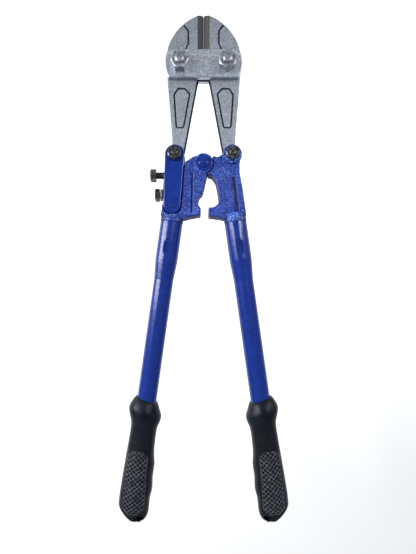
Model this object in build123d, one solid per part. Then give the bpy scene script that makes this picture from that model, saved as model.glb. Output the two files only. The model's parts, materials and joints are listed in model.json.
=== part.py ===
from build123d import *
import math
import os

# Bolt cutters of the 18 inch class, closed.  Millimetres.
# The tool lies flat: +Z is the thickness, +Y runs to the jaw tips, +X is the right-hand side.
# Every outline is drawn for the right-hand side and mirrored, about the middle plane z = MID.

# ---- driving dimensions ----
TIP_Y = 227.5            # jaw tips, so the closed tool is twice this long
MID = 15.0               # height of the middle plane above the rear bolt heads
PLAY = 0.1               # side clearance between flat sliding faces
BORE_PLAY = 0.05         # radial clearance of every turning bore
FIT_PLAY = 0.02          # radial clearance inside one body

HEAD_X, HEAD_Y = 20.7, 180.6       # jaw pivots
TAIL_X, TAIL_Y = 25.4, 101.6       # blade tail pivots at rest
CENTRE_Y = 94.0                    # centre pivot of the two arms
RIVET_X, RIVET_Y = -27.9, 57.1     # lower end of the adjusting link

BLADE_T = 10.0           # blade thickness
BLADE_GAP = 0.05         # each cutting edge stands off the middle by this much
EDGE_LAND = 0.4          # half thickness of the cutting edge
EDGE_W, EDGE_Z = 0.6, 2.0          # steep grind behind the edge, and the height it starts from
BEVEL_W = 5.2            # width of the whole cutting bevel
GROOVE_W, GROOVE_DEPTH = 1.5, 1.1  # dark lines pressed round the forging's panels
TAIL_R = 8.2             # rounded end of a blade tail
PLATE_T = 4.5            # joint plates
PLATE_TOP = 193.4
FRONT_PLATE_LOW = (31.0, 168.6)    # lower right corners; the rear plate is shorter
REAR_PLATE_LOW = (32.0, 172.4)
LINK_T = 4.0             # link plates
LINK_TOP_R, LINK_LOW_R = 8.6, 7.6
HEAD_BOLT_R = 4.5
TAIL_BOLT_R = 3.0
HEAD_NUT_AF, HEAD_NUT_H = 14.0, 7.6
TAIL_NUT_AF, TAIL_NUT_H = 11.0, 5.0
TAIL_HEAD_H = 4.2
HEAD_BOLT_NOSE, TAIL_BOLT_NOSE = 2.8, 1.0   # what a bolt shows beyond its nut
RIVET_R = 3.0

ARM_T = 17.2             # thickness of the arm castings over their ribs
RIB_H = 1.2              # ribs and pads stand this much above the web
CHANNEL_DEPTH = 1.5      # channels beside the ribs, sunk below the web
EAR_T = 19.0             # thickness over the right arm's fork
TONGUE_T = 8.4           # right arm's tongue in the clevis
LUG_R = 8.8              # left arm's clevis ears
TONGUE_R = 8.4
SWING_ROOM = 0.4         # radial clearance of one arm round the other's pivot boss
PIN_R = 3.3
PIN_HEAD_R, PIN_HEAD_H = 4.7, 1.8
PIN_KNOB_R, PIN_KNOB_H = 2.6, 0.7
PIVOT_WASHER_R, PIVOT_WASHER_T = 7.0, 1.2
TAIL_TRAVEL = 3.2        # sideways room for the right tail bolt in its blade
TAIL_ROOM = 0.7          # room all round it
FORK_TRAVEL = (-2.9, 1.2)          # the same travel, seen from the right arm

HANDLE_TILT = 8.0        # each handle leans outwards
JOINT_X, JOINT_Y = 28.7, 42.6      # where the tube meets the casting, on the handle axis
SOCKET_R, TUBE_R, TUBE_WALL = 10.0, 8.7, 1.7
SOCKET_LEN, TAPER_LEN, TUBE_LEN = 34.0, 18.0, 252.0
GRIP_START = 160.0       # distances along the handle axis from the joint
TIP_HOLE_X, TIP_HOLE_R = -3.5, 5.0 # open hole in the end of the grip
CRIMP_AT = 23.0          # middle of the press marks that lock each tube to its casting
CRIMP_LEN, CRIMP_W, CRIMP_DEPTH = 9.0, 5.0, 1.6
DISH_LEN, DISH_W, DISH_DEPTH = 14.0, 9.0, 0.7

SCREW_R, THREAD_DEPTH, THREAD_PITCH = 3.1, 0.5, 1.0
SCREW_AF = 10.0
SCREW_WASHER_R, SCREW_WASHER_T = 5.4, 1.6
JACK_Y, CLAMP_Y = 85.0, 67.4
BLOCK_X0, BLOCK_X1 = -36.6, -24.3  # adjuster block
BLOCK_Y0, BLOCK_Y1 = 63.0, 91.8
WALL_X = -23.7                     # face of the arm that the jack screw bears on
HALF = BLADE_T / 2 + PLAY          # inner faces of the joint and link plates


def slab(face, low, high):
    """The face pulled from one height to another, heights counted from the middle plane."""
    return extrude(Pos(0, 0, MID + low) * face, high - low, dir=(0, 0, 1))


def pocket(face, top, depth, taper):
    """A recess with sloping sides, sunk from one height into the face below it."""
    return extrude(Pos(0, 0, MID + top) * face, depth, dir=(0, 0, -1), taper=taper)


def raised(face, base, height):
    """A pad with sloping sides, standing on a face at the given height."""
    return extrude(Pos(0, 0, MID + base) * face, height, dir=(0, 0, 1), taper=30)


def groove(face, top):
    """A shallow line pressed round the inside of an outline."""
    ring = face - offset(face, -GROOVE_W)
    return slab(ring, top - GROOVE_DEPTH, top + 1)


def both_sides(shape):
    """The shape and its image below the middle plane."""
    return shape + mirror(shape, about=Plane.XY.offset(MID))


def left(shape):
    return mirror(shape, about=Plane.YZ)


def disc(x, y, radius, low, high):
    return slab(Pos(x, y) * Circle(radius), low, high)


def rounded(points, radii):
    """A closed outline with one corner radius for each point, less where a run is too short for it."""
    corners = []
    for i, point in enumerate(points):
        tip = Vector(*point)
        back, ahead = Vector(*points[i - 1]) - tip, Vector(*points[(i + 1) % len(points)]) - tip
        half_turn = math.radians(back.get_angle(ahead)) / 2
        cut = min(radii[i] / math.tan(half_turn), 0.49 * back.length, 0.49 * ahead.length)
        radius = cut * math.tan(half_turn)
        back, ahead = back.normalized(), ahead.normalized()
        middle = tip + (back + ahead).normalized() * (radius / math.sin(half_turn) - radius)
        corners.append((tip + back * cut, middle, tip + ahead * cut))
    edges = []
    for i, (start, middle, end) in enumerate(corners):
        edges.append(ThreePointArc(start, middle, end))
        edges.append(Line(end, corners[(i + 1) % len(corners)][0]))
    return make_face(Curve() + edges)


def outer_edges(solid, height):
    """Edges that lie flat at one height, counted from the middle plane."""
    return solid.edges().filter_by_position(Axis.Z, MID + height - 0.01, MID + height + 0.01)


# ---- fasteners ----
def hexagon(across_flats, height, turn=0.0):
    """A hexagon prism standing on z = 0, its upper corners turned back by a cone."""
    corner = across_flats / math.sqrt(3)
    reach = corner - across_flats / 2
    prism = extrude(Rot(0, 0, turn) * RegularPolygon(corner, 6), height)
    turned = Pos(0, 0, height / 2) * Cylinder(corner, height)
    return prism & chamfer(turned.edges().group_by(Axis.Z)[-1], length=reach * 0.8, length2=reach * 1.3)


def nut(x, y, base, across_flats, height, bore, turn=0.0):
    body = hexagon(across_flats, height, turn) - Pos(0, 0, height / 2) * Cylinder(bore, height)
    return Pos(x, y, MID + base) * body


def bolt(x, y, shank_r, across_flats, head_low, head_high, end, nose_r):
    """Hexagon head at the rear, plain shank, rounded nose at the front."""
    head = Rot(180, 0, 0) * hexagon(across_flats, head_high - head_low)
    shank = Pos(0, 0, (end - head_high) / 2) * Cylinder(shank_r, end - head_high)
    shank = fillet(shank.edges().group_by(Axis.Z)[-1], nose_r)
    return Pos(x, y, MID + head_high) * (head + shank)


# ---- jaws ----
def blade_outline():
    dome = ThreePointArc((BEVEL_W, TIP_Y - 1.5), (20.3, 216.2), (32.4, 194.5))
    side = ThreePointArc((32.4, 194.5), (33.3, 184.0), (32.4, 168.5))
    rest = Polyline(
        (32.4, 168.5), (30.2, 141.0), (28.2, 116.0), (28.2, TAIL_Y), (TAIL_X - 6.0, TAIL_Y),
        (17.4, 104.0), (5.7, 166.5), (2.6, 179.0), (BLADE_GAP, 188.0), (BLADE_GAP, TIP_Y),
        (BEVEL_W, TIP_Y - 1.5),
    )
    return make_face(Curve() + [dome, side, rest])


def blade(tail_slot):
    """Right-hand jaw; tail_slot is the sideways room for the bolt through its tail."""
    half_t = BLADE_T / 2
    body = slab(blade_outline() + Pos(TAIL_X, TAIL_Y) * Circle(TAIL_R), -half_t, half_t)
    corner = body.edges().filter_by(Axis.Z).group_by(Axis.Y)[-1].sort_by(Axis.X)[-1]
    body = fillet(corner, 0.8)
    rims = outer_edges(body, half_t) + outer_edges(body, -half_t)
    rims = [edge for edge in rims if edge.center().X > BLADE_GAP + 0.5]
    body = chamfer(rims, 0.5)
    grind = Plane.XZ * make_face(Polyline(
        (-1, EDGE_LAND), (BLADE_GAP, EDGE_LAND), (EDGE_W, EDGE_Z), (BEVEL_W, half_t), (BEVEL_W, half_t + 1),
        (-1, half_t + 1), close=True))
    grind = Pos(0, 0, MID) * extrude(grind, -TIP_Y - 1)
    body -= both_sides(grind & Pos(0, TIP_Y - 19, MID) * Box(20, 38, 40))
    step = rounded(
        [(31.8, 236), (12.8, 212.5), (12.8, 200.8), (15.9, 194.6), (15.0, 185.0), (50, 185.0), (50, 236)],
        [0.5, 3, 3, 1, 1, 1, 1])
    body -= both_sides(slab(step, half_t - 0.5, half_t + 1) + groove(step, half_t))
    panel = rounded(
        [(23.3, 161.5), (27.0, 155.6), (24.9, 125.5), (17.2, 125.5), (11.5, 156.3), (15.9, 161.5)],
        [2, 2.5, 2.5, 2.5, 2.5, 2])
    body -= both_sides(pocket(panel, half_t, 0.3, 25) + groove(panel, half_t))
    body -= disc(HEAD_X, HEAD_Y, HEAD_BOLT_R + BORE_PLAY, -20, 20)
    if tail_slot:
        hole = SlotCenterToCenter(tail_slot, 2 * (TAIL_BOLT_R + TAIL_ROOM))
        return body - slab(Pos(TAIL_X + tail_slot / 2, TAIL_Y) * hole, -20, 20)
    return body - disc(TAIL_X, TAIL_Y, TAIL_BOLT_R + BORE_PLAY, -20, 20)


def joint_plate(low_x, low_y):
    """Front joint plate whose lower corners are at the given place."""
    outline = make_face(Curve() + [
        Line((-31.4, PLATE_TOP), (31.4, PLATE_TOP)),
        ThreePointArc((31.4, PLATE_TOP), (33.7, 182.0), (low_x, low_y)),
        Line((low_x, low_y), (-low_x, low_y)),
        ThreePointArc((-low_x, low_y), (-33.7, 182.0), (-31.4, PLATE_TOP)),
    ])
    plate = slab(outline, HALF, HALF + PLATE_T)
    plate = fillet(plate.edges().filter_by(Axis.Z), 0.8)
    plate = chamfer(outer_edges(plate, HALF + PLATE_T), 0.5)
    for x in (-HEAD_X, HEAD_X):
        plate -= disc(x, HEAD_Y, HEAD_BOLT_R + FIT_PLAY, 0, 20)
    return plate


# ---- right arm ----
def right_arm_outline():
    points = [
        (8.2, 100.6), (13.0, 99.6), (17.6, 103.0), (33.6, 103.0), (32.0, 95.0), (32.0, 86.0),
        (34.6, 72.0), (36.6, 58.0), (38.0, 47.9), (18.4, 45.1), (14.4, 46.2), (4.2, 47.4), (4.2, 55.0),
        (9.6, 55.6), (13.8, 59.4), (13.2, 66.0), (10.8, 78.6), (7.0, 83.8), (3.7, 84.2), (3.7, 88.0),
    ]
    radii = [1.0, 4, 1, 1, 3, 10, 20, 20, 0.5, 0.5, 4, 1.2, 1.2, 3, 3, 8, 4, 2.5, 0.5, 0.5]
    return rounded(points, radii)


def right_arm_casting():
    half_t, half_e = ARM_T / 2, EAR_T / 2
    web = half_t - RIB_H
    body = slab(right_arm_outline(), -web, web)
    body = fillet(outer_edges(body, web) + outer_edges(body, -web), 1.0)
    palm_pad = rounded(
        [(12.0, 84.2), (22.0, 85.0), (24.0, 78.0), (26.4, 48.6), (13.0, 47.6), (11.8, 54.0), (14.8, 58.8),
         (14.2, 66.4)],
        [2, 4, 8, 3, 3, 2, 3, 8])
    outer_rib = rounded(
        [(28.3, 84.4), (30.2, 84.4), (32.4, 73.0), (36.2, 49.6), (32.6, 49.0)],
        [1, 1, 8, 1, 1.5])
    body += both_sides(raised(palm_pad, web, RIB_H) + raised(outer_rib, web, RIB_H))
    channel = rounded([(25.2, 82.0), (28.0, 82.0), (32.0, 50.6), (27.9, 50.6)], [1.2, 1.2, 2, 2])
    body -= both_sides(pocket(channel, web, CHANNEL_DEPTH, 10))
    ears = disc(TAIL_X, TAIL_Y, 8.4, -half_e, half_e)
    ears = fillet(outer_edges(ears, half_e) + outer_edges(ears, -half_e), 1.0)
    body += ears
    body -= disc(0, CENTRE_Y, LUG_R + SWING_ROOM, -20, 20)
    tongue = Pos(0, CENTRE_Y) * Circle(TONGUE_R) + Polygon(
        (0, CENTRE_Y + 7.6), (12, 98.6), (14, 86.0), (4.6, 86.4), align=None)
    body += slab(tongue, -TONGUE_T / 2, TONGUE_T / 2)
    fork_r = TAIL_R + TAIL_ROOM
    moved_x, moved_y = TAIL_X + FORK_TRAVEL[0], TAIL_Y + FORK_TRAVEL[1]
    slot = Pos(TAIL_X, TAIL_Y) * Circle(fork_r) + Pos(moved_x, moved_y) * Circle(fork_r)
    slot += Polygon((moved_x - fork_r, moved_y), (12, 125), (50, 125), (50, TAIL_Y - fork_r),
                    (TAIL_X, TAIL_Y - fork_r), align=None)
    body -= slab(slot, -HALF, HALF)
    body += handle_end()
    body -= disc(TAIL_X, TAIL_Y, TAIL_BOLT_R + FIT_PLAY, -20, 20)
    return body - disc(0, CENTRE_Y, PIN_R + BORE_PLAY, -20, 20)


# ---- left arm, drawn on its own side ----
def left_arm_outline():
    points = [
        (-16.3, 95.4), (-8.7, 100.4), (-2.0, 102.0), (4.0, 92.0), (3.2, 84.6), (0.8, 74.0), (-1.0, 67.6),
        (-4.2, 64.6), (-4.9, 57.4), (-2.5, 55.0), (-2.5, 48.6), (-12.7, 46.6), (-18.4, 45.1), (-38.0, 47.9),
        (-37.4, 52.0), (-36.6, 59.0), (-31.0, 61.8), (-20.4, 61.8), (-17.1, 90.0),
    ]
    radii = [1.2, 6, 1, 1, 1.5, 10, 3, 3, 1.5, 1.2, 1.2, 4, 0.5, 0.5, 4, 3, 3, 2, 4]
    return rounded(points, radii)


def left_arm_casting():
    half_t = ARM_T / 2
    web = half_t - RIB_H
    body = slab(left_arm_outline(), -web, web)
    body = fillet(outer_edges(body, web) + outer_edges(body, -web), 1.0)
    outer_rib = rounded(
        [(-17.6, 92.4), (-13.6, 93.0), (-11.4, 84.0), (-11.9, 48.2), (-19.4, 47.4)],
        [2, 3, 8, 1.5, 1])
    palm_pad = rounded(
        [(-8.7, 83.6), (-0.6, 83.6), (-1.6, 74.0), (-4.0, 66.6), (-6.2, 63.6), (-6.4, 57.0), (-4.0, 54.4),
         (-4.0, 50.0), (-9.3, 49.2)],
        [2, 2, 6, 2, 2, 2, 1, 1, 1.5])
    body += both_sides(raised(outer_rib, web, RIB_H) + raised(palm_pad, web, RIB_H))
    channel = rounded([(-11.0, 86.0), (-9.2, 85.0), (-9.8, 50.4), (-11.5, 50.2)], [0.8, 0.8, 0.8, 0.8])
    body -= both_sides(pocket(channel, web, CHANNEL_DEPTH, 10))
    lugs = disc(0, CENTRE_Y, LUG_R, -half_t, half_t)
    lugs = fillet(outer_edges(lugs, half_t) + outer_edges(lugs, -half_t), 1.0)
    body += lugs
    clevis = (Pos(0, CENTRE_Y) * Circle(TONGUE_R + SWING_ROOM)
              + Polygon((0, CENTRE_Y), (-14, 108), (14, 110), (14, 76), (2.2, 82.6), align=None))
    body -= slab(clevis, -TONGUE_T / 2 - PLAY, TONGUE_T / 2 + PLAY)
    wall = rounded(
        [(WALL_X, 92.0), (-14.0, 93.0), (-14.0, 48.0), (-37.2, 44.0), (-36.2, 61.0), (-33.0, 62.3),
         (-24.6, 62.3), (WALL_X, 64.0)],
        [1, 1, 2, 2, 4, 3, 0.4, 0.4])
    body += slab(wall, -BLADE_T / 2, BLADE_T / 2)
    body += left(handle_end())
    body -= both_sides(slab(link_outline(0.5), HALF - 0.05, 20))
    body -= disc(0, CENTRE_Y, PIN_R + FIT_PLAY, -20, 20)
    body -= disc(RIVET_X, RIVET_Y, RIVET_R + BORE_PLAY, -20, 20)
    return body - Pos(-24, CLAMP_Y, MID) * Rot(0, 90, 0) * Cylinder(SCREW_R + 0.5, 10)


def link_outline(grow=0.0):
    """Tapered bar with round ends, from the tail bolt to the rivet."""
    top, low = Vector(-TAIL_X, TAIL_Y), Vector(RIVET_X, RIVET_Y)
    r_top, r_low = LINK_TOP_R + grow, LINK_LOW_R + grow
    side = (top - low).normalized()
    side = Vector(-side.Y, side.X)
    corners = (top + side * r_top, low + side * r_low, low - side * r_low, top - side * r_top)
    bar = Polygon(*[(corner.X, corner.Y) for corner in corners], align=None)
    return bar + Pos(top.X, top.Y) * Circle(r_top) + Pos(low.X, low.Y) * Circle(r_low)


def front_link_plate():
    plate = slab(link_outline(), HALF, HALF + LINK_T)
    plate = fillet(outer_edges(plate, HALF + LINK_T), 1.0)
    plate -= disc(-TAIL_X, TAIL_Y, TAIL_BOLT_R + FIT_PLAY, 0, 20)
    return plate - disc(RIVET_X, RIVET_Y, RIVET_R + FIT_PLAY, 0, 20)


def adjuster_block():
    block = rounded(
        [(BLOCK_X0, BLOCK_Y0 + 1), (BLOCK_X1, BLOCK_Y0), (BLOCK_X1, BLOCK_Y1), (BLOCK_X0 + 2, BLOCK_Y1 - 1)],
        [1.5, 0.5, 0.5, 2])
    body = slab(block, -HALF, HALF)
    body -= Pos(-30, JACK_Y, MID) * Rot(0, 90, 0) * Cylinder(SCREW_R + FIT_PLAY, 40)
    return body - Pos(-30, CLAMP_Y, MID) * Rot(0, 90, 0) * Cylinder(SCREW_R + 0.3, 40)


def cross_screw(y, head_x, head_len, tip_x, thread_to):
    """A hexagon screw lying along +X, with its thread cut as rings from the head to thread_to."""
    shank_x = head_x + head_len
    profile = [(shank_x, 0), (shank_x, SCREW_R - THREAD_DEPTH)]
    for i in range(int((thread_to - shank_x - 0.4) / THREAD_PITCH)):
        x = shank_x + 0.4 + i * THREAD_PITCH
        profile += [(x, SCREW_R - THREAD_DEPTH), (x + THREAD_PITCH * 0.4, SCREW_R),
                    (x + THREAD_PITCH * 0.6, SCREW_R)]
    profile += [(thread_to, SCREW_R - THREAD_DEPTH), (thread_to, SCREW_R), (tip_x - 1, SCREW_R),
                (tip_x, SCREW_R - 1), (tip_x, 0)]
    shank = revolve(make_face(Polyline(*profile, close=True)), Axis.X)
    head = Rot(0, -90, 0) * hexagon(SCREW_AF, head_len, 15)
    return Pos(0, y, MID) * (shank + Pos(shank_x, 0, 0) * head)


def clamp_washer():
    ring = Cylinder(SCREW_WASHER_R, SCREW_WASHER_T) - Cylinder(SCREW_R + FIT_PLAY, SCREW_WASHER_T)
    return Pos(BLOCK_X0 - 1.0, CLAMP_Y, MID) * Rot(0, 90, 0) * ring


# ---- centre pivot ----
def centre_pivot_pin():
    half_t = ARM_T / 2 + PIVOT_WASHER_T
    pin = Pos(0, CENTRE_Y, MID) * Cylinder(PIN_R, 2 * half_t)
    head = disc(0, CENTRE_Y, PIN_HEAD_R, half_t, half_t + PIN_HEAD_H)
    head = fillet(head.edges().group_by(Axis.Z)[-1], 1.5)
    knob = disc(0, CENTRE_Y, PIN_KNOB_R, half_t + PIN_HEAD_H, half_t + PIN_HEAD_H + PIN_KNOB_H)
    knob = fillet(knob.edges().group_by(Axis.Z)[-1], 0.5)
    return pin + both_sides(head + knob)


def front_pivot_washer():
    ring = disc(0, CENTRE_Y, PIVOT_WASHER_R, ARM_T / 2, ARM_T / 2 + PIVOT_WASHER_T)
    ring = fillet(ring.edges().group_by(Axis.Z)[-1], 0.5)
    return ring - disc(0, CENTRE_Y, PIN_R + FIT_PLAY, 0, 20)


def link_rivet():
    half_t = HALF + LINK_T
    body = disc(RIVET_X, RIVET_Y, RIVET_R, -half_t - 0.3, half_t + 0.3)
    dimple = Cone(0.0, 1.0, 0.8, align=(Align.CENTER, Align.CENTER, Align.MAX))
    dimple = Pos(RIVET_X, RIVET_Y, MID + half_t + 0.3) * dimple
    rims = outer_edges(body, half_t + 0.3) + outer_edges(body, -half_t - 0.3)
    return fillet(rims, 0.25) - both_sides(dimple)


# ---- handles, drawn for the right-hand side ----
def on_handle(shape):
    """Place a shape made along its own +Z on the handle axis, +X pointing outwards and +Y up."""
    tilt = math.radians(HANDLE_TILT)
    axis = Plane(
        origin=(JOINT_X, JOINT_Y, MID),
        x_dir=(math.cos(tilt), math.sin(tilt), 0),
        z_dir=(math.sin(tilt), -math.cos(tilt), 0),
    )
    return axis * shape


def handle_end():
    """The round shoulder that the tube butts against, and the spigot inside the tube."""
    shoulder = Pos(0, 0, -4.5) * Cylinder(SOCKET_R, 9.0)
    shoulder = fillet(shoulder.edges().group_by(Axis.Z)[0], 3.0)
    spigot = Pos(0, 0, 13) * Cylinder(SOCKET_R - TUBE_WALL - CRIMP_DEPTH * 0.6, 26)
    return on_handle(shoulder + spigot)


def handle_tube():
    taper_end = SOCKET_LEN + TAPER_LEN
    wide, narrow = SOCKET_R - TUBE_WALL, TUBE_R - TUBE_WALL
    outer = Polyline(
        (0, 0.2), (SOCKET_R, 0.2), (SOCKET_R, SOCKET_LEN), (TUBE_R, taper_end), (TUBE_R, TUBE_LEN),
        (0, TUBE_LEN), close=True)
    inner = Polyline(
        (0, 0), (wide, 0), (wide, SOCKET_LEN), (narrow, taper_end), (narrow, TUBE_LEN + 1), (0, TUBE_LEN + 1),
        close=True)
    skin = revolve(Plane.XZ * make_face(outer), Axis.Z)
    core = revolve(Plane.XZ * make_face(inner), Axis.Z)
    marks = crimp(DISH_LEN, DISH_W, DISH_DEPTH, 40) + crimp(CRIMP_LEN, CRIMP_W, CRIMP_DEPTH, 15)
    return on_handle(skin - core - marks - mirror(marks, about=Plane.XZ))


def crimp(length, width, depth, taper):
    """What one press mark takes out of the tube's upper side; its sides slope inwards."""
    mark = Pos(0, SOCKET_R, CRIMP_AT) * Rot(90, 0, 0) * SlotOverall(length, width, rotation=90)
    return extrude(mark, depth, taper=taper, dir=(0, -1, 0)) + extrude(mark, 1, dir=(0, 1, 0))


# distance along the handle, outer and inner half widths, half depth, slant of the section
GRIP_SECTIONS = [
    (GRIP_START + 1.0, 10.2, 10.0, 10.3, 10),
    (GRIP_START + 9.5, 14.4, 12.6, 13.6, 10),
    (GRIP_START + 15.5, 13.2, 13.6, 13.8, 10),
    (GRIP_START + 25.0, 10.7, 11.8, 11.8, 4),
    (GRIP_START + 40.0, 11.0, 12.2, 12.2, 0),
    (GRIP_START + 62.0, 11.6, 14.0, 13.0, 0),
    (GRIP_START + 85.0, 12.0, 14.8, 13.4, 0),
    (GRIP_START + 100.0, 11.0, 14.4, 12.8, 0),
    (GRIP_START + 108.0, 10.0, 13.6, 11.8, 0),
    (GRIP_START + 111.2, 7.0, 11.0, 9.0, 0),
]


def grip():
    """Moulded sleeve over the tube: flared collar, neck, full hand swell and a tip cut back outside."""
    sections = []
    for along, out, inn, depth, slant in GRIP_SECTIONS:
        ring = Ellipse((out + inn) / 2, depth)
        sections.append(Pos((out - inn) / 2, 0, along) * Rot(0, -slant, 0) * ring)
    body = loft(sections)
    end = GRIP_SECTIONS[-1][0]
    upwards = (Align.CENTER, Align.CENTER, Align.MIN)
    body -= Pos(12.0, 0, end - 16.0) * Rot(0, 40, 0) * Box(60, 60, 60, align=upwards)
    bore_len = TUBE_LEN + 20.5 - GRIP_START
    body -= Pos(0, 0, GRIP_START - 20) * Cylinder(TUBE_R + FIT_PLAY, bore_len, align=upwards)
    return on_handle(body - Pos(TIP_HOLE_X, 0, end - 14.0) * Cylinder(TIP_HOLE_R, 15.0, align=upwards))


def main():
    os.makedirs("parts", exist_ok=True)
    head_front = HALF + PLATE_T
    tail_front = HALF + LINK_T
    ear_front = EAR_T / 2
    link = front_link_plate()
    tube = handle_tube()
    sleeve = grip()
    washer = front_pivot_washer()
    below = Plane.XY.offset(MID)

    nodes = {
        "front_joint_plate": joint_plate(*FRONT_PLATE_LOW),
        "rear_joint_plate": mirror(joint_plate(*REAR_PLATE_LOW), about=below),
        "right_blade": blade(TAIL_TRAVEL),
        "left_blade": left(blade(0)),
        "front_link_plate": link,
        "rear_link_plate": mirror(link, about=below),
        "adjuster_block": adjuster_block(),
        "link_rivet": link_rivet(),
        "jack_screw": cross_screw(JACK_Y, -47.6, 5.2, WALL_X - 0.05, BLOCK_X0 - 0.3),
        "clamp_screw": cross_screw(CLAMP_Y, -43.4, 4.2, -19.6, -38.6),
        "clamp_washer": clamp_washer(),
        "left_arm_casting": left_arm_casting(),
        "right_arm_casting": right_arm_casting(),
        "centre_pivot_pin": centre_pivot_pin(),
        "front_pivot_washer": washer,
        "rear_pivot_washer": mirror(washer, about=below),
        "right_handle_tube": tube,
        "left_handle_tube": left(tube),
        "right_grip": sleeve,
        "left_grip": left(sleeve),
    }
    for side, sign, turn in (("right", 1, 30), ("left", -1, 0)):
        x = sign * HEAD_X
        nut_top = head_front + HEAD_NUT_H
        nodes[side + "_pivot_bolt"] = bolt(
            x, HEAD_Y, HEAD_BOLT_R, HEAD_NUT_AF, -MID, -head_front, nut_top + HEAD_BOLT_NOSE,
            HEAD_BOLT_NOSE - 0.3)
        nodes[side + "_pivot_nut"] = nut(
            x, HEAD_Y, head_front, HEAD_NUT_AF, HEAD_NUT_H, HEAD_BOLT_R + FIT_PLAY, turn)
    for side, sign, front in (("right", 1, ear_front), ("left", -1, tail_front)):
        x = sign * TAIL_X
        nut_top = front + TAIL_NUT_H
        nodes[side + "_tail_bolt"] = bolt(
            x, TAIL_Y, TAIL_BOLT_R, TAIL_NUT_AF, -front - TAIL_HEAD_H, -front, nut_top + TAIL_BOLT_NOSE,
            TAIL_BOLT_NOSE - 0.1)
        nodes[side + "_tail_nut"] = nut(
            x, TAIL_Y, front, TAIL_NUT_AF, TAIL_NUT_H, TAIL_BOLT_R + FIT_PLAY, 30)
    for name, shape in nodes.items():
        export_step(shape, "parts/" + name + ".step")
        print(name, "done")


main()
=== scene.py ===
# %% [markdown]
# # Bolt cutters: finishing a tool in Blender
# The working parts come from a CAD model and are loaded as a fixed frame: jaws, joint plates, cast arms,
# tubes and fasteners are already true to size.  This notebook gives each of them its real surface, softens
# the two sand castings, and models the two rubber grips, which no CAD solid shows well.

# %% Load the frame
import json
import math

import bpy
from mathutils import Matrix, Vector


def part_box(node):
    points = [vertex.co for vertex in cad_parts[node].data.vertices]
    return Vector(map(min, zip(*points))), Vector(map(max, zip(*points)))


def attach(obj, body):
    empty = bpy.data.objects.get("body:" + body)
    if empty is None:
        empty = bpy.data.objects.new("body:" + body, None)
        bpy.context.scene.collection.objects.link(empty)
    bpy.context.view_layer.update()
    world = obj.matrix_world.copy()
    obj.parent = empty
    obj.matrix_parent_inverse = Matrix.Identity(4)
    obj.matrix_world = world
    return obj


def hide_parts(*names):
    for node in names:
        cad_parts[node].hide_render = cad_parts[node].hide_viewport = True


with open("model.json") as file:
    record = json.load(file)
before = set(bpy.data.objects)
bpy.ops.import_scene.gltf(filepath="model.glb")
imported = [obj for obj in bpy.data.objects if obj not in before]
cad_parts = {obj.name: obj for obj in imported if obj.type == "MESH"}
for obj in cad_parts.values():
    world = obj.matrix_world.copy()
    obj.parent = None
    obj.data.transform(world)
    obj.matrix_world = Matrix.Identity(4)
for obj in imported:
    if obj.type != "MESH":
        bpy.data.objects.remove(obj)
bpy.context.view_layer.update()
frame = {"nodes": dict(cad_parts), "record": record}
nodes = frame["nodes"]
MM = 0.001
MIDDLE = (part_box("right_blade")[0][2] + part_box("right_blade")[1][2]) / 2
print("loaded", len(nodes), "nodes")

# %% [markdown]
# ## Camera
# The tool lies flat and is looked at from straight above, from quite near, so the nuts and plates that
# stand up from it lean outwards in the view.  A long lens would be calmer, but the near view is what shows
# the thickness of the plates.  The camera stands over a point between the tubes and shifts its film a
# little, rather than tilting, so that the tool's plane stays square to the view.

# %% Camera
LENS_FILM = 24.0                 # film height, in millimetres
FILM_SHIFT = (0.008, 0.036)      # sideways and along the tool, in parts of the film
EYE_HEIGHT = 375 * MM            # above the plane that the tool rests on
EYE_BACK = -24 * MM              # over this place along the tool
FOCUS = 17.33                    # lens length that goes with that height
NEAREST = 10 * MM


def add_camera():
    bpy.ops.object.camera_add(location=(0, EYE_BACK, EYE_HEIGHT), rotation=(0, 0, 0))
    camera = bpy.context.object
    camera.name = "camera"
    camera.data.sensor_fit = "VERTICAL"
    camera.data.sensor_height = LENS_FILM
    camera.data.lens = FOCUS
    camera.data.shift_x, camera.data.shift_y = FILM_SHIFT
    camera.data.clip_start = NEAREST
    bpy.context.scene.camera = camera
    return camera


camera = add_camera()
print("camera over", tuple(round(v, 3) for v in camera.location))

# %% [markdown]
# ## Floor and light
# Gloss paint and bare steel are mostly a picture of what stands round them.  A large soft panel low on the
# left draws a broad line down each tube and leaves every edge that faces right in shade, and a narrow
# brighter one on the right draws a second, thinner line.  Nothing bright hangs straight overhead: the flat
# faces would mirror it and turn milky.  The sky is dim for the same reason.  The floor lies well below the
# tool, so that no shadow darkens it beside the arms.

# %% Floor and light
FLOOR_HEIGHT = -300 * MM         # far enough below the tool for its shadow to leave the view
FLOOR_SIZE = 6.0
SKY_COLOUR = (0.93, 0.96, 1.0, 1.0)
SKY_STRENGTH = 0.50
PANELS_FACE = (0, 0.02, 0)
# name, place, width and length in metres, and power in watts
PANELS = [
    ("left_panel", (-0.85, 0.22, 0.52), (0.32, 0.9), 20.0),
    ("right_panel", (0.60, 0.30, 0.50), (0.08, 0.8), 6.0),
]


def add_panel(name, place, size, power):
    """A soft rectangular light that looks at the middle of the tool."""
    bpy.ops.object.light_add(type="AREA", location=place)
    panel = bpy.context.object
    panel.name = name
    panel.data.shape = "RECTANGLE"
    panel.data.size, panel.data.size_y = size
    panel.data.energy = power
    panel.rotation_euler = (Vector(PANELS_FACE) - Vector(place)).to_track_quat("-Z", "Y").to_euler()


def add_floor():
    bpy.ops.mesh.primitive_plane_add(size=FLOOR_SIZE, location=(0, 0, FLOOR_HEIGHT))
    floor = bpy.context.object
    floor.name = "floor"


def add_sky():
    world = bpy.data.worlds.new("dim_sky")
    world.use_nodes = True
    back = world.node_tree.nodes["Background"]
    back.inputs["Color"].default_value = SKY_COLOUR
    back.inputs["Strength"].default_value = SKY_STRENGTH
    bpy.context.scene.world = world


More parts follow.
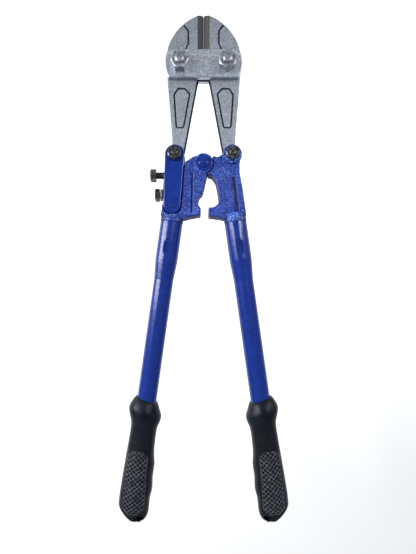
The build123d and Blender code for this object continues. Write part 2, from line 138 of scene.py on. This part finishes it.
add_floor()
for panel in PANELS:
    add_panel(*panel)
add_sky()
bpy.context.scene.view_settings.view_transform = "Standard"
print("a floor and", len(PANELS), "panels")

# %% [markdown]
# ## A small language for finishes
# A material is a network of nodes.  Written out node by node it is long and hides its idea, so a small
# class wraps an output socket: adding or multiplying two of them adds the Math node.  Anything else comes
# from one method that takes the node's kind, its settings and its inputs.

# %% The finish maker
class Wire:
    """One output in a material; + - and * on it add Math nodes."""

    def __init__(self, finish, socket):
        self.finish = finish
        self.socket = socket

    def maths(self, operation, first, second):
        return self.finish.node("ShaderNodeMath", {"operation": operation}, {0: first, 1: second})

    def __add__(self, other):
        return self.maths("ADD", self, other)

    def __radd__(self, other):
        return self.maths("ADD", other, self)

    def __sub__(self, other):
        return self.maths("SUBTRACT", self, other)

    def __rsub__(self, other):
        return self.maths("SUBTRACT", other, self)

    def __mul__(self, other):
        return self.maths("MULTIPLY", self, other)


class Finish:
    """A material built round one Principled shader."""

    def __init__(self, name, **constants):
        self.material = bpy.data.materials.new(name)
        self.material.use_nodes = True
        self.tree = self.material.node_tree
        self.shader = self.tree.nodes["Principled BSDF"]
        for socket, value in constants.items():
            self.shader.inputs[socket.replace("_", " ")].default_value = value

    def node(self, kind, settings, inputs, output=0):
        """Adds a node: its settings first, then the values or links of its inputs."""
        made = self.tree.nodes.new(kind)
        for setting, value in settings.items():
            setattr(made, setting, value)
        for key, value in inputs.items():
            if isinstance(value, Wire):
                self.tree.links.new(value.socket, made.inputs[key])
            else:
                made.inputs[key].default_value = value
        return Wire(self, made.outputs[output])

    def place(self, stretch=(1, 1, 1)):
        """Object coordinates, in metres, stretched for grain that has a direction."""
        here = self.node("ShaderNodeTexCoord", {}, {}, "Object")
        return self.node("ShaderNodeMapping", {}, {"Vector": here, "Scale": stretch})

    def apart(self):
        """The three coordinates on their own."""
        here = self.tree.nodes.new("ShaderNodeSeparateXYZ")
        self.tree.links.new(self.place().socket, here.inputs[0])
        return [Wire(self, output) for output in here.outputs]

    def from_middle(self):
        """Distance above or below the tool's middle plane."""
        return self.maths_of("ABSOLUTE", self.apart()[2] - MIDDLE)

    def maths_of(self, operation, value):
        """A Math node that needs only one value."""
        return self.node("ShaderNodeMath", {"operation": operation}, {0: value})

    def noise(self, grain, detail=3.0, rough=0.55, where=None):
        """Cloudy noise whose lumps are about `grain` metres across."""
        where = where or self.place()
        return self.node("ShaderNodeTexNoise", {}, {"Vector": where, "Scale": 1 / grain, "Detail": detail,
                                                    "Roughness": rough})

    def between(self, value, low, high, out_low, out_high):
        """Maps one span of a value on to another and stops at its ends."""
        return self.node("ShaderNodeMapRange", {"clamp": True}, {
            "Value": value, "From Min": low, "From Max": high, "To Min": out_low, "To Max": out_high})

    def blend(self, factor, first, second):
        """Mixes two colours."""
        return self.node("ShaderNodeMix", {"data_type": "RGBA"}, {0: factor, 6: first, 7: second}, 2)

    def tint(self, value, low, high, first, second):
        """Feeds a base colour that goes from the first to the second as the value goes from low to high."""
        self.feed(Base_Color=self.blend(self.between(value, low, high, 0, 1), first, second))

    def feed(self, **inputs):
        for socket, wire in inputs.items():
            self.tree.links.new(wire.socket, self.shader.inputs[socket.replace("_", " ")])

    def bump(self, height, depth, strength=1.0):
        """Turns a height between 0 and 1 into relief `depth` metres deep."""
        self.feed(Normal=self.node("ShaderNodeBump", {}, {
            "Height": height, "Distance": depth, "Strength": strength}))


def rgb(red, green, blue):
    return (red, green, blue, 1.0)


print("finish maker ready")

# %% [markdown]
# ## Blue gloss paint
# The arms are sand castings dipped in thick enamel.  The paint rounds the sand's grain into a fine
# pebbled relief, and the grain drives the bump as well as the colour: a painted spark of light on top of
# each pebble and painted shade in the hollows between them.  The raised pads get more of the painted
# sparks, and the channels and the walls round the thickness are painted in shade.
# The tubes and link plates are smooth steel under the same enamel, so they get only a faint ripple.

# %% Blue gloss paint
ENAMEL_PAINTED_SHADE = rgb(0.001, 0.010, 0.100)
ENAMEL_BODY = rgb(0.001, 0.022, 0.215)
ENAMEL_PAINTED_SPARK = rgb(0.110, 0.260, 0.700)
TUBE_DARK = rgb(0.002, 0.013, 0.130)
TUBE_LIGHT = rgb(0.003, 0.021, 0.165)
# heights above the middle plane: painted shade below the web, more painted sparks on the pads
WEB_FROM, WEB_TO = 6.2 * MM, 7.2 * MM
PADS_FROM, PADS_TO = 7.6 * MM, 8.5 * MM
GLOSS_FROM, GLOSS_TO = 6.0 * MM, 7.0 * MM
CAST_RELIEF = 0.9 * MM
TUBE_RELIEF = 0.16 * MM


def cast_enamel():
    paint = Finish("cast_enamel", Roughness=0.24, Specular_IOR_Level=0.28, Coat_Weight=0.08,
                   Coat_Roughness=0.1)
    grain = paint.noise(1.3 * MM, 3.0, 0.6)
    lumps = paint.noise(7.0 * MM, 2.0, 0.5)
    relief = grain * 0.75 + lumps * 0.25
    web = paint.between(paint.from_middle(), WEB_FROM, WEB_TO, 0, 1)
    pads = paint.between(paint.from_middle(), PADS_FROM, PADS_TO, 0, 1)
    # body: darker in the low points of the grain, painted shade in the pebbles' hollows
    body = paint.blend(paint.between(relief, 0.36, 0.54, 0, 1), ENAMEL_PAINTED_SHADE, ENAMEL_BODY)
    # worn: painted highlight, a spark of light on the highest pebbles, brighter on the raised pads
    painted_sparks = paint.between(relief, 0.53, 0.62, 0, 1) * web * (0.35 + pads * 0.65)
    # everything below the web, the channels and the walls, gets the painted shade
    paint.feed(Base_Color=paint.blend(painted_sparks, paint.blend(web, ENAMEL_PAINTED_SHADE, body), ENAMEL_PAINTED_SPARK))
    # the walls round the thickness are dull, the faces glossy
    dullness = paint.between(paint.from_middle(), GLOSS_FROM, GLOSS_TO, 0.55, 0)
    paint.feed(Roughness=paint.between(grain, 0.3, 0.7, 0.14, 0.30) + dullness)
    paint.bump(grain, CAST_RELIEF, 1.0)
    return paint.material


def smooth_enamel():
    paint = Finish("smooth_enamel", Roughness=0.2, Specular_IOR_Level=0.24, Coat_Weight=0.05,
                   Coat_Roughness=0.05)
    ripple = paint.noise(4.5 * MM, 2.0, 0.5)
    specks = paint.noise(0.8 * MM, 2.0, 0.5)
    paint.tint(ripple, 0.3, 0.7, TUBE_DARK, TUBE_LIGHT)
    paint.feed(Roughness=paint.between(specks, 0.3, 0.7, 0.15, 0.26))
    paint.bump(ripple * 0.85 + specks * 0.15, TUBE_RELIEF, 0.6)
    return paint.material


enamel_cast = cast_enamel()
enamel_smooth = smooth_enamel()
print("blue paint, rough and smooth")

# %% [markdown]
# ## Bare steel
# The jaws are forgings blasted to an even satin grey with a fine grit, and the joint plates are much the
# same.  The bolts that hold them are plated, and the ones lower down are blackened and oiled.  What differs
# from place to place on one forging is worked out from Object coordinates: the ground bevels lie within a
# few millimetres of the line where the jaws meet, and the pressed grooves and the walls round the thickness
# lie deeper than the face, so distance from the middle plane finds them.  These grooves and walls, and the
# inner edges of the tails, are painted black as shade.

# %% Bare steel
# nearer the middle plane than the next two heights, the jaw is painted black as shade
PAINTED_SHADE_FROM = 4.3 * MM            # from the middle plane; the jaw's face is at 5 mm
PAINTED_SHADE_TO = 4.55 * MM
BEVEL_WIDTH = 5.35 * MM          # of each ground bevel, from the line where the jaws meet
BEVEL_START = 189.4 * MM         # along the tool
TAIL_LEAN = 0.1872               # slope of a tail's inner edge
TAIL_EDGE = 37.5 * MM            # where that edge's chamfer ends, across the slope
TAIL_START = 168.0 * MM          # along the tool, the tails are below this
SHARP = 0.1 * MM                 # how soon one look gives way to the next
SIDES_BLEND = 0.4 * MM
GRIT_RELIEF = 0.13 * MM
# the black of the painted shade in the grooves, on the walls and on the tails' inner edges
PAINTED_SHADE_BLACK = rgb(0.022, 0.027, 0.038)
JAW_DARK, JAW_LIGHT = rgb(0.195, 0.222, 0.262), rgb(0.395, 0.430, 0.480)
# colours of the two cutting bevels, far darker than the jaw's faces, bluer on the left and browner on the
# right
LEFT_BEVEL_DARK, LEFT_BEVEL_LIGHT = rgb(0.034, 0.039, 0.048), rgb(0.060, 0.067, 0.077)
RIGHT_BEVEL_DARK, RIGHT_BEVEL_LIGHT = rgb(0.045, 0.040, 0.037), rgb(0.080, 0.073, 0.067)


def blasted_steel():
    steel = Finish("blasted_steel", Metallic=1.0, Roughness=0.45, Specular_IOR_Level=0.0)
    cloud = steel.noise(8.0 * MM, 3.0, 0.55)
    grit = steel.noise(1.1 * MM, 2.0, 0.65)
    tone = cloud * 0.2 + grit * 0.8
    skin = steel.blend(steel.between(tone, 0.38, 0.62, 0, 1), JAW_DARK, JAW_LIGHT)
    across, along, _ = steel.apart()
    from_line = steel.maths_of("ABSOLUTE", across)
    # painted shade: the pressed grooves, the walls and the inner edges of the tails are painted black
    deep = steel.between(steel.from_middle(), PAINTED_SHADE_FROM, PAINTED_SHADE_TO, 1, 0)
    edges = steel.between(from_line + along * TAIL_LEAN, TAIL_EDGE, TAIL_EDGE + SHARP, 1, 0)
    tails = steel.between(along, TAIL_START, TAIL_START + MM, 1, 0)
    # scale: the painted shade, black and not metal
    scale = steel.between(deep + edges * tails, 0, 1, 0, 1)
    skin = steel.blend(scale, skin, PAINTED_SHADE_BLACK)
    steel.feed(Metallic=1 - scale)
    # the cutting bevels are ground after hardening and coloured far darker than the faces, a little bluer on
    # the left jaw
    ground = steel.between(from_line, BEVEL_WIDTH - SHARP, BEVEL_WIDTH, 1, 0)
    ground = ground * steel.between(along, BEVEL_START, BEVEL_START + SHARP, 0, 1)
    side = steel.between(across, -SIDES_BLEND, SIDES_BLEND, 0, 1)
    lines = steel.noise(0.7 * MM, 2.0, 0.5, steel.place(stretch=(1, 0.12, 1)))
    left_bevel = steel.blend(lines, LEFT_BEVEL_DARK, LEFT_BEVEL_LIGHT)
    right_bevel = steel.blend(lines, RIGHT_BEVEL_DARK, RIGHT_BEVEL_LIGHT)
    steel.feed(Base_Color=steel.blend(ground, skin, steel.blend(side, left_bevel, right_bevel)))
    steel.feed(Roughness=steel.between(grit, 0.3, 0.7, 0.40, 0.56))
    steel.bump(grit, GRIT_RELIEF, 0.7)
    return steel.material


def plate_steel():
    steel = Finish("plate_steel", Metallic=1.0, Roughness=0.42)
    cloud = steel.noise(9.0 * MM, 3.0, 0.55)
    grit = steel.noise(1.0 * MM, 2.0, 0.65)
    tone = cloud * 0.2 + grit * 0.8
    steel.tint(tone, 0.38, 0.62, rgb(0.250, 0.283, 0.330), rgb(0.490, 0.535, 0.600))
    steel.feed(Roughness=steel.between(grit, 0.3, 0.7, 0.38, 0.54))
    steel.bump(grit, GRIT_RELIEF, 0.7)
    return steel.material


def plated_steel():
    steel = Finish("plated_steel", Metallic=1.0, Roughness=0.5)
    cloud = steel.noise(2.2 * MM, 3.0, 0.6)
    steel.tint(cloud, 0.35, 0.65, rgb(0.13, 0.135, 0.16), rgb(0.36, 0.37, 0.41))
    steel.feed(Roughness=steel.between(cloud, 0.3, 0.7, 0.44, 0.56))
    steel.bump(steel.noise(1.1 * MM), 0.05 * MM, 0.6)
    return steel.material


def blackened_steel():
    steel = Finish("blackened_steel", Metallic=0.9, Roughness=0.26)
    patches = steel.noise(1.6 * MM, 3.0, 0.6)
    steel.tint(patches, 0.35, 0.85, rgb(0.012, 0.012, 0.016), rgb(0.220, 0.222, 0.235))
    steel.feed(Roughness=steel.between(patches, 0.3, 0.7, 0.20, 0.34))
    steel.bump(steel.noise(0.9 * MM), 0.015 * MM, 0.5)
    return steel.material


steel_blasted = blasted_steel()
steel_plate = plate_steel()
steel_plated = plated_steel()
steel_black = blackened_steel()
print("four kinds of steel")

# %% Give the CAD parts their finishes
FINISHES = {
    "blade_steel": steel_blasted,
    "plate_steel": steel_plate,
    "bright_fastener": steel_plated,
    "blue_casting": enamel_cast,
    "blue_tube": enamel_smooth,
    "blue_plate": enamel_smooth,
    "black_fastener": steel_black,
}


TURNED = ("centre_pivot_pin", "front_pivot_washer", "rear_pivot_washer")   # without the sand's grain


def finish_node(node, material):
    """Gives an object one material, in place of any it had."""
    mesh = node.data
    mesh.materials.clear()
    mesh.materials.append(material)


for part in frame["record"]["subparts"]:
    if part["material_slot"] in FINISHES:
        finish_node(nodes[part["node"]], FINISHES[part["material_slot"]])
for name in TURNED:
    finish_node(nodes[name], enamel_smooth)
print("finished", len(nodes), "CAD parts")

# %% [markdown]
# ## The two castings
# Each arm's head is cast in sand, so it has no sharp edge anywhere and its skin is pebbled.  A CAD solid is
# all sharp edges and true planes.  So each casting's mesh is copied, the copy is rebuilt as an even skin of
# small squares with the Remesh modifier, and smoothing then rounds every edge alike, as paint and sand do.
# The pebbles are raised with a Displace modifier, but only on the outer faces: the slots in the middle of
# the thickness have to stay flat, because the jaws and the other arm turn in them.

# %% Helpers for shaping
def only(piece):
    """Makes one object the only one selected."""
    bpy.ops.object.select_all(action="DESELECT")
    piece.select_set(True)
    bpy.context.view_layer.objects.active = piece


def modify(piece, kind, **settings):
    """Adds a modifier, sets it up and applies it."""
    modifier = piece.modifiers.new(kind.lower(), kind)
    for setting, value in settings.items():
        setattr(modifier, setting, value)
    only(piece)
    bpy.ops.object.modifier_apply(modifier=modifier.name)


def tidy_normals(piece):
    """Merges doubled points and turns every face outwards."""
    only(piece)
    bpy.ops.object.mode_set(mode="EDIT")
    bpy.ops.mesh.select_all(action="SELECT")
    bpy.ops.mesh.remove_doubles(threshold=0.001 * MM)
    bpy.ops.mesh.normals_make_consistent(inside=False)
    bpy.ops.object.mode_set(mode="OBJECT")


def smooth_shaded(piece):
    only(piece)
    bpy.ops.object.shade_smooth()


print("shaping helpers ready; middle plane at", round(MIDDLE / MM, 2), "mm")

# %% Two softened castings
CAST_SQUARE = 0.5 * MM
CAST_SOFTNESS = 3                # rounds of smoothing
SLOT_HALF = 5.2 * MM             # the slots reach this far from the middle plane
PEBBLES_FULL = 2 * MM            # beyond the slots, the pebbles reach their full height in this distance
PEBBLE_HEIGHT = 0.55 * MM
PEBBLES = bpy.data.textures.new("pebbles", "CLOUDS")
PEBBLES.noise_scale = 1.5 * MM
PEBBLES.noise_depth = 1


def outside_weight(point):
    """0 inside the slots' height, rising to 1 beyond it."""
    beyond = abs(point.co.z - MIDDLE) - SLOT_HALF
    return min(max(beyond / PEBBLES_FULL, 0.0), 1.0)


def add_casting(side):
    node_name = side + "_arm_casting"
    casting = bpy.data.objects.new(side + "_arm_cast_skin", nodes[node_name].data.copy())
    bpy.context.scene.collection.objects.link(casting)
    tidy_normals(casting)
    modify(casting, "REMESH", mode="VOXEL", voxel_size=CAST_SQUARE)
    modify(casting, "SMOOTH", factor=0.5, iterations=CAST_SOFTNESS)
    outside = casting.vertex_groups.new(name="outside")
    for point in casting.data.vertices:
        outside.add([point.index], outside_weight(point), "REPLACE")
    modify(casting, "DISPLACE", texture=PEBBLES, texture_coords="LOCAL", vertex_group="outside",
           strength=PEBBLE_HEIGHT, mid_level=0.5)
    smooth_shaded(casting)
    finish_node(casting, enamel_cast)
    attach(casting, side + "_arm")
    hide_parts(node_name)
    print(casting.name, len(casting.data.polygons), "faces")


add_casting("left")
add_casting("right")

# %% [markdown]
# ## Grips
# Each grip is one moulding of black rubber: a flared collar that stops the hand, a narrow neck, a palm
# swell with two finger bumps inside, and a tip cut back outside.  A revolved shape can't bulge on one side
# only, so the grip is drawn out ring by ring from a circle, as on a potter's wheel, with each ring's outer
# and inner reach given.  It is made upright about the handle's own axis and then laid in place.

# %% The handle's own axis
HANDLE_TILT = math.radians(8.0)
JOINT = Vector((28.7, 42.6, 15.0)) * MM     # where the tube leaves the casting


def handle_matrix():
    """Stands the world's Z along the right handle, with X pointing outwards and Y up."""
    across = Vector((math.cos(HANDLE_TILT), math.sin(HANDLE_TILT), 0))
    along = Vector((math.sin(HANDLE_TILT), -math.cos(HANDLE_TILT), 0))
    up = Vector((0, 0, 1))
    turn = Matrix((across, up, along)).transposed().to_4x4()
    return Matrix.Translation(JOINT) @ turn


print("handle axis leans", round(math.degrees(HANDLE_TILT), 1), "degrees")

# %% The grip's rings
# distance along the handle, outer reach, inner reach and half depth, in millimetres, and slant in degrees
GRIP_RINGS = [
    (159.6, 9.2, 9.2, 9.2, -12),
    (159.8, 10.0, 10.0, 10.0, -12),
    (161.2, 11.4, 11.2, 11.4, -13),
    (165.6, 13.7, 12.9, 13.4, -14),
    (168.6, 15.0, 14.3, 14.4, -13),
    (171.0, 15.2, 15.2, 14.6, -12),
    (174.0, 14.4, 15.4, 14.2, -10),
    (178.4, 12.4, 14.6, 13.2, -8),
    (182.0, 11.1, 13.3, 12.2, -6),
    (186.0, 10.9, 12.7, 11.7, -3),
    (193.0, 11.1, 12.6, 11.8, 0),
    (201.0, 11.4, 12.9, 12.2, 0),
    (207.0, 11.6, 13.2, 12.5, 0),
    (212.0, 11.8, 14.0, 12.7, 0),
    (217.5, 12.0, 15.3, 12.9, 0),
    (223.0, 12.2, 15.2, 13.0, 0),
    (228.5, 12.3, 15.0, 13.1, 0),
    (234.0, 12.5, 15.7, 13.1, 0),
    (239.5, 12.6, 16.4, 13.1, 0),
    (243.0, 12.7, 16.0, 13.0, 0),
    (247.0, 12.7, 15.2, 12.8, 0),
    (252.4, 12.5, 15.3, 12.2, 0),
    (257.4, 12.0, 15.7, 11.0, 0),
    (261.6, 11.2, 15.6, 9.6, 0),
    (265.2, 10.0, 14.6, 8.0, 0),
    (267.6, 8.4, 13.2, 6.4, 0),
    (269.2, 6.4, 11.2, 4.4, 0),
]
GRIP_SIDES = 48
END_INSETS = (2.5 * MM, 1.5 * MM)   # rings that keep the flat end from puckering when it is smoothed


def add_first_ring():
    along, outer, inner, depth, slant = GRIP_RINGS[0]
    bpy.ops.object.select_all(action="DESELECT")
    bpy.ops.mesh.primitive_circle_add(vertices=GRIP_SIDES, radius=outer * MM, location=(0, 0, along * MM))
    grip = bpy.context.object
    bpy.ops.object.transform_apply(location=True, rotation=True, scale=True)
    bpy.ops.object.mode_set(mode="EDIT")
    bpy.ops.mesh.select_all(action="SELECT")
    bpy.ops.mesh.edge_face_add()
    bpy.ops.transform.rotate(value=math.radians(slant), orient_axis="Y", center_override=(0, 0, along * MM))
    return grip


def draw_ring(last, ring):
    """Extrudes the selected ring and gives it the next ring's reach, depth, place and slant."""
    wide, wide_next = last[1] + last[2], ring[1] + ring[2]
    middle, middle_next = (last[1] - last[2]) / 2, (ring[1] - ring[2]) / 2
    centre = (middle_next * MM, 0, ring[0] * MM)
    bpy.ops.mesh.extrude_region_move(TRANSFORM_OT_translate={
        "value": ((middle_next - middle) * MM, 0, (ring[0] - last[0]) * MM)})
    bpy.ops.transform.rotate(value=math.radians(ring[4] - last[4]), orient_axis="Y", center_override=centre)
    bpy.ops.transform.resize(value=(wide_next / wide, ring[3] / last[3], 1), center_override=centre)


def add_grip_body():
    grip = add_first_ring()
    for last, ring in zip(GRIP_RINGS, GRIP_RINGS[1:]):
        draw_ring(last, ring)
    for thickness in END_INSETS:
        bpy.ops.mesh.inset(thickness=thickness)
    bpy.ops.object.mode_set(mode="OBJECT")
    grip.name = "right_grip_rubber"
    modify(grip, "SUBSURF", levels=1, render_levels=1)
    return grip


right_grip = add_grip_body()
print("grip drawn from", len(GRIP_RINGS), "rings:", len(right_grip.data.polygons), "faces")

# %% [markdown]
# ## The cut-back tip and its hole
# The tip is sliced off slantwise on the outer side, so the grips don't catch on a pocket or a bench, and
# the mould leaves a blind hole beside the slice.  Bisect makes the slice and fills it, a small bevel takes
# the sharpness off its rim, and a Boolean drills the hole with a slim cylinder.

# %% Cut the tip and drill the hole
TIP_SHOULDER = (10.9 * MM, 0, 256.4 * MM)
TIP_SLICE = Vector((0.66, 0, 0.75))
TIP_MERGE = 0.5 * MM             # points left nearer than this by the slice are merged
TIP_ROUND = 0.7 * MM
HOLE_AT = Vector((-7.8, 6.4, 264.6)) * MM
HOLE_RADIUS = 4.1 * MM
HOLE_LENGTH = 13.0 * MM
HOLE_AXIS = Vector((0.10, 0.80, 0.60))


def slice_tip(grip):
    only(grip)
    bpy.ops.object.mode_set(mode="EDIT")
    bpy.ops.mesh.select_all(action="SELECT")
    bpy.ops.mesh.bisect(plane_co=TIP_SHOULDER, plane_no=TIP_SLICE, use_fill=True, clear_outer=True)
    bpy.ops.mesh.remove_doubles(threshold=TIP_MERGE)
    bpy.ops.mesh.bevel(offset=TIP_ROUND, segments=2, affect="EDGES", clamp_overlap=True)
    bpy.ops.object.mode_set(mode="OBJECT")


def drill_hole(grip):
    bpy.ops.object.select_all(action="DESELECT")
    bpy.ops.mesh.primitive_cylinder_add(vertices=32, radius=HOLE_RADIUS, depth=HOLE_LENGTH, location=HOLE_AT,
                                        rotation=HOLE_AXIS.to_track_quat("Z", "Y").to_euler())
    drill = bpy.context.object
    modify(grip, "BOOLEAN", object=drill, operation="DIFFERENCE", solver="EXACT")
    bpy.data.objects.remove(drill)


slice_tip(right_grip)
drill_hole(right_grip)
print("tip cut and drilled:", len(right_grip.data.polygons), "faces")

# %% [markdown]
# ## The diamond tread
# A net of thin ridges in diamonds is moulded on the palm side and on its back.  A grid turned by 45 degrees
# has the right cells.  It is trimmed to the tread's outline, every cell is inset and its middle deleted,
# which leaves the net, and Shrinkwrap lays the net on the rubber before Solidify gives it its height.

# %% The tread's net
TREAD_CELL = 2.9 * MM
RIDGE_HALF = 0.26 * MM
RIDGE_HEIGHT = 0.9 * MM          # half of it sinks into the rubber
TREAD_MID = (-1.4 * MM, 233.0 * MM)      # across and along the handle
NET_CELLS = 32                   # along each side of the net before it is trimmed
NET_AWAY = 20 * MM               # clear of the grip, until the net is laid on it
# trimming lines: a point on each (across, along) in millimetres, and the way it faces
TREAD_SIDES = [
    ((8.2, 216.0), (1.0, 0.03)), ((7.8, 250.0), (1.0, 0.06)), ((-10.2, 233.0), (-1.0, -0.06)),
    ((0.5, 203.6), (0.0, -1.0)), ((6.0, 205.4), (0.7, -0.7)), ((-7.0, 206.4), (-0.7, -0.7)),
    ((5.6, 255.8), (0.66, 0.75)), ((-3.0, 259.4), (0.0, 1.0)), ((-9.8, 256.2), (-0.7, 0.7)),
]


def add_net(facing):
    """The flat net, standing off the front of the grip (facing = 1) or its back (facing = -1)."""
    bpy.ops.object.select_all(action="DESELECT")
    bpy.ops.mesh.primitive_grid_add(
        x_subdivisions=NET_CELLS, y_subdivisions=NET_CELLS, size=NET_CELLS * TREAD_CELL,
        location=(TREAD_MID[0], facing * NET_AWAY, TREAD_MID[1]),
        rotation=(-facing * math.pi / 2, math.pi / 4, 0))
    net = bpy.context.object
    bpy.ops.object.transform_apply(location=True, rotation=True, scale=True)
    bpy.ops.object.mode_set(mode="EDIT")
    for (across, along), (turn_x, turn_z) in TREAD_SIDES:
        bpy.ops.mesh.select_all(action="SELECT")
        bpy.ops.mesh.bisect(plane_co=(across * MM, 0, along * MM), plane_no=(turn_x, 0, turn_z),
                            clear_outer=True)
    bpy.ops.mesh.select_all(action="SELECT")
    bpy.ops.mesh.inset(thickness=RIDGE_HALF, use_individual=True)
    bpy.ops.mesh.delete(type="FACE")
    bpy.ops.mesh.select_all(action="SELECT")
    bpy.ops.mesh.subdivide(number_cuts=1)
    bpy.ops.object.mode_set(mode="OBJECT")
    return net


def add_tread(grip, facing, name):
    net = add_net(facing)
    net.name = name
    modify(net, "SHRINKWRAP", target=grip, wrap_method="PROJECT", use_project_x=False, use_project_y=True,
           use_project_z=False, use_negative_direction=facing > 0, use_positive_direction=facing < 0)
    modify(net, "SOLIDIFY", thickness=RIDGE_HEIGHT, offset=0.0)
    return net


front_tread = add_tread(right_grip, 1, "right_grip_tread_front")
rear_tread = add_tread(right_grip, -1, "right_grip_tread_rear")
print("treads with", len(front_tread.data.polygons), "faces each")

# %% Lay the grip in place and copy it
CREASE = math.radians(40)        # edges sharper than this stay sharp in the shading


def lay_on_handle(piece):
    """Carries a piece from the upright axis to the right handle."""
    piece.matrix_world = handle_matrix()
    only(piece)
    bpy.ops.object.transform_apply(location=True, rotation=True, scale=True)
    tidy_normals(piece)
    only(piece)
    bpy.ops.object.shade_smooth_by_angle(angle=CREASE)


def mirrored(piece, name):
    """A copy with its own mesh on the other side of the tool."""
    only(piece)
    bpy.ops.object.duplicate()
    twin = bpy.context.object
    twin.name = name
    twin.scale = (-1, 1, 1)
    bpy.ops.object.transform_apply(location=True, rotation=True, scale=True)
    tidy_normals(twin)
    return twin


def grip_rubber():
    rubber = Finish("grip_rubber", Roughness=0.42, Specular_IOR_Level=0.12)
    grain = rubber.noise(0.5 * MM, 2.0, 0.6)
    cloud = rubber.noise(12.0 * MM, 2.0, 0.5)
    rubber.tint(cloud, 0.3, 0.7, rgb(0.002, 0.003, 0.006), rgb(0.006, 0.008, 0.013))
    rubber.feed(Roughness=rubber.between(cloud, 0.3, 0.7, 0.30, 0.46))
    rubber.bump(grain, 0.05 * MM, 0.5)
    return rubber.material


def ridge_rubber():
    """The ridges of the tread, a lighter grey than the rubber between them."""
    rubber = Finish("ridge_rubber", Roughness=0.5, Specular_IOR_Level=0.3)
    # patches of lighter and darker grey along the ridges
    mottle = rubber.noise(3.0 * MM, 2.0, 0.5)
    rubber.tint(mottle, 0.3, 0.7, rgb(0.016, 0.018, 0.022), rgb(0.085, 0.090, 0.104))
    rubber.feed(Roughness=rubber.between(mottle, 0.3, 0.7, 0.40, 0.56))
    return rubber.material


rubber_black = grip_rubber()
rubber_ridges = ridge_rubber()
for part in (right_grip, front_tread, rear_tread):
    lay_on_handle(part)
    twin = mirrored(part, part.name.replace("right", "left"))
    for piece, side in ((part, "right"), (twin, "left")):
        finish_node(piece, rubber_ridges if "tread" in piece.name else rubber_black)
        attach(piece, side + "_arm")
        if "rubber" in piece.name:
            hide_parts(side + "_grip")
print("two grips in place")
